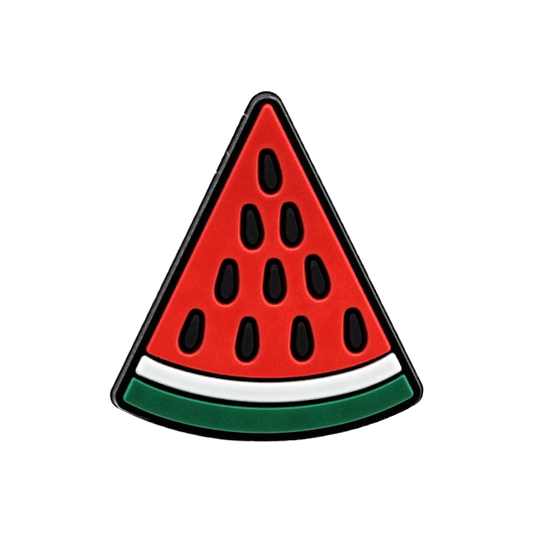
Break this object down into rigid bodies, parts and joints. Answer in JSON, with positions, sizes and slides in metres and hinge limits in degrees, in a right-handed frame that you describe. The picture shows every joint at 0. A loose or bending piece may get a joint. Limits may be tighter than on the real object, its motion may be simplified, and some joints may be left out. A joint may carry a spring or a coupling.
{
  "type": "watermelon wedge shoe charm",
  "caption": "Soft-PVC shoe charm: a watermelon wedge in coloured relief on a black base, with a button behind that snaps through a hole in a shoe's upper.",
  "frame": {"origin": "middle of the button's flat foot, on the button's centre line", "axes": "+Z the way the picture faces, away from the foot; +Y from the rind up to the wedge's tip; +X to the right as the picture is seen"},
  "size_m": [0.0253, 0.0283, 0.0097],
  "materials": {
    "black_pvc": "smooth soft PVC with a low gloss",
    "red_pvc": "satin soft PVC",
    "white_pvc": "satin soft PVC",
    "green_pvc": "satin soft PVC",
    "charcoal_pvc": "matt, finely grained soft PVC"
  },
  "bodies": {
    "root": {"base": "black_pvc", "flesh_pad": "red_pvc", "pith_band": "white_pvc", "rind_band": "green_pvc", "button": "black_pvc", "seed_01": "charcoal_pvc", "seed_02": "charcoal_pvc", "seed_03": "charcoal_pvc", "seed_04": "charcoal_pvc", "seed_05": "charcoal_pvc", "seed_06": "charcoal_pvc", "seed_07": "charcoal_pvc", "seed_08": "charcoal_pvc", "seed_09": "charcoal_pvc", "seed_10": "charcoal_pvc"}
  },
  "joints": []
}
